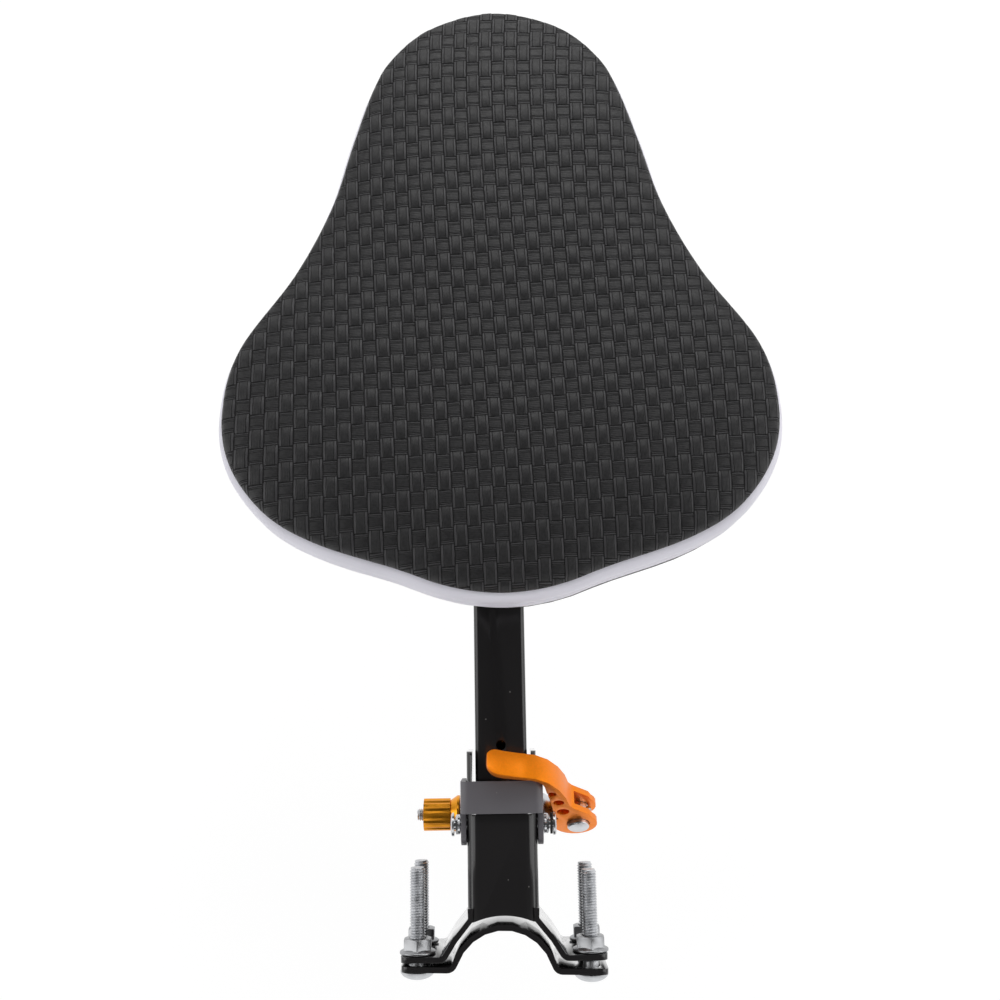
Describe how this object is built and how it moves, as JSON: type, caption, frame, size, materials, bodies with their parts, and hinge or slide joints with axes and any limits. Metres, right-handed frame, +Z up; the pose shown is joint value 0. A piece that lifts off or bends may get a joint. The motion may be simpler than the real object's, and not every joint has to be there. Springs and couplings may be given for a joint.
{
  "type": "child bike seat",
  "caption": "Padded child's saddle with a woven cover on a square steel arm that slides into a bolted tube clamp and is held by a quick-release cam lever.",
  "frame": {"origin": "on the axis of the bike tube that the clamp is made for, midway along the clamp", "axes": "+Z up with the saddle level, +Y forward towards the saddle's nose, +X to the right; the tube's axis leans 9 degrees back from +Z and the arm rises 9 degrees towards the nose"},
  "size_m": [0.2136, 0.3933, 0.1101],
  "materials": {
    "black_paint": "gloss",
    "grey_paint": "satin",
    "zinc_plate": "bright zinc plate",
    "orange_anodised": "anodised satin",
    "gold_anodised": "anodised satin",
    "black_rubber": "matt",
    "woven_cover": "embossed basket weave",
    "white_band": "smooth satin",
    "black_board": "matt",
    "foam": "open foam"
  },
  "bodies": {
    "clamp": {"clamp_bracket": "black_paint", "lower_clamp_plate": "black_paint", "yoke_strap": "grey_paint", "clamp_bolt_left_lower": "zinc_plate", "clamp_bolt_left_upper": "zinc_plate", "clamp_bolt_right_lower": "zinc_plate", "clamp_bolt_right_upper": "zinc_plate", "flange_nut_left_lower": "zinc_plate", "flange_nut_left_upper": "zinc_plate", "flange_nut_right_lower": "zinc_plate", "flange_nut_right_upper": "zinc_plate", "side_screw_left": "zinc_plate", "side_screw_right": "zinc_plate", "side_nut_left": "zinc_plate", "side_nut_right": "zinc_plate", "side_washer_right": "black_rubber"},
    "saddle": {"seat_arm": "black_paint", "arm_end_plug": "black_rubber", "saddle_plate": "black_paint", "saddle_gusset_left": "black_paint", "saddle_gusset_right": "black_paint", "plate_screw_left_front": "zinc_plate", "plate_screw_left_rear": "zinc_plate", "plate_screw_right_front": "zinc_plate", "plate_screw_right_rear": "zinc_plate", "saddle_base": "black_board", "saddle_foam": "foam", "saddle_side_band": "white_band", "saddle_cover": "woven_cover"},
    "skewer": {"skewer_rod": "zinc_plate", "barrel_pin": "zinc_plate", "cup_washer": "zinc_plate", "nut_washer": "zinc_plate"},
    "lever": {"cam_lever": "orange_anodised"},
    "thumb_nut": {"thumb_nut": "gold_anodised"}
  },
  "joints": [
    {"name": "arm_slide", "type": "slide", "parent": "clamp", "child": "saddle", "axis": [0, 0.9877, 0.1564], "range_m": [0, 0.025]},
    {"name": "skewer_swivel", "type": "hinge", "parent": "clamp", "child": "skewer", "pos_m": [0, 0.05908, -0.00229], "axis": [1, 0, 0], "range_deg": [-8, 7]},
    {"name": "lever_hinge", "type": "hinge", "parent": "skewer", "child": "lever", "pos_m": [0.03039, 0.05908, -0.00229], "axis": [0, 0.9336, -0.3584], "range_deg": [0, 150]},
    {"name": "thumb_nut_spin", "type": "hinge", "parent": "skewer", "child": "thumb_nut", "pos_m": [-0.024, 0.05908, -0.00229], "axis": [1, 0, 0], "continuous": true}
  ]
}
